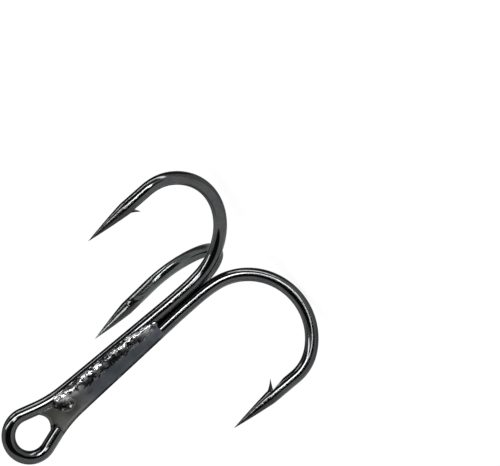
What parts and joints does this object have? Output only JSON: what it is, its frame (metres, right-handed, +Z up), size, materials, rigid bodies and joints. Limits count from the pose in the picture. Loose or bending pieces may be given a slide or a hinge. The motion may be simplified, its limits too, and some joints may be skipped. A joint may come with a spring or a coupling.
{
  "type": "treble hook",
  "caption": "Treble fishing hook: an eyed wire shank with barbed, round-bend hooks curving out around it, brazed along the grooves of the shank.",
  "frame": {"origin": "centre of the eye loop, on its wire's middle plane", "axes": "+Z up the shank from the bends to the eye, +Y along the eye's hole towards the single hook, +X across the eye in the plane of the double hook's shank"},
  "size_m": [0.0285, 0.0217, 0.036],
  "materials": {
    "plated_wire": "mirror black nickel plate on hard drawn high carbon steel wire",
    "plated_braze": "black nickel plate over rough solidified brazing filler, satin with bright specks"
  },
  "bodies": {
    "root": {"double_hook_wire": "plated_wire", "single_hook_wire": "plated_wire", "braze_front_seam": "plated_braze", "braze_left_seam": "plated_braze", "braze_right_seam": "plated_braze"}
  },
  "joints": []
}
